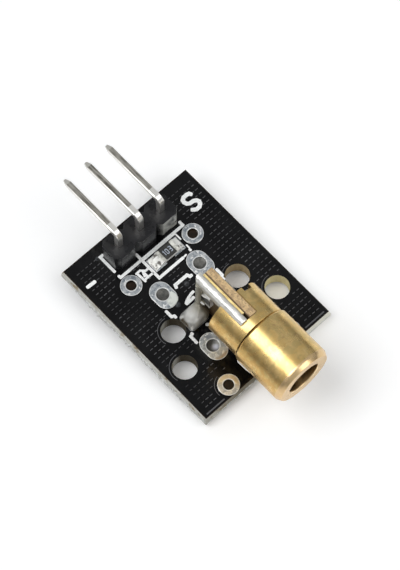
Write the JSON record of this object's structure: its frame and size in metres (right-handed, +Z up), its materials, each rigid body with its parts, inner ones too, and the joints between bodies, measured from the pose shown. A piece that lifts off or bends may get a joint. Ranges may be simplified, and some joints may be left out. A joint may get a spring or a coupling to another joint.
{
  "type": "laser diode module",
  "caption": "Brass laser diode head soldered along a small black circuit board, with screw holes and a bent pin header at the other end.",
  "frame": {"origin": "midway between the two inner screw holes, on the circuit board's underside", "axes": "+X towards the board's right side seen from the front, +Y along the laser axis towards the header and its pins, +Z up out of the board's printed face; the light leaves towards -Y"},
  "size_m": [0.0154, 0.0287, 0.0116],
  "materials": {
    "board": "gloss black mask over glass fibre",
    "tin": "tinned copper",
    "solder": "bright solder",
    "header_plastic": "moulded, semi-matt",
    "pin_metal": "tin-plated wire",
    "brass": "turned and polished",
    "lens_plastic": "clear moulded plastic",
    "spring_steel": "drawn wire",
    "ceramic": "white fired ceramic",
    "coat": "dark resistor coat",
    "fibre": "bare glass-fibre board",
    "gold": "gold flash over copper",
    "submount": "metallised ceramic",
    "diode": "bare semiconductor"
  },
  "bodies": {
    "root": {"circuit_board": "board", "round_pads": "tin", "oval_pads": "tin", "header_pads": "tin", "laser_pads": "tin", "resistor_pads": "tin", "pad_solder": "solder", "header_block": "header_plastic", "pin_ground": "pin_metal", "pin_supply": "pin_metal", "pin_signal": "pin_metal", "header_solder": "solder", "resistor_body": "ceramic", "resistor_coat": "coat", "resistor_caps": "tin", "resistor_solder": "solder", "lens_barrel": "brass", "laser_housing": "brass", "lens": "lens_plastic", "lens_spring": "spring_steel", "driver_board": "fibre", "driver_plate": "gold", "diode_submount": "submount", "laser_diode": "diode", "driver_resistor_body": "ceramic", "driver_resistor_coat": "coat", "driver_resistor_caps": "tin", "driver_resistor_solder": "solder", "plate_solder": "solder", "left_solder_joint": "solder", "right_solder_joint": "solder"}
  },
  "joints": []
}
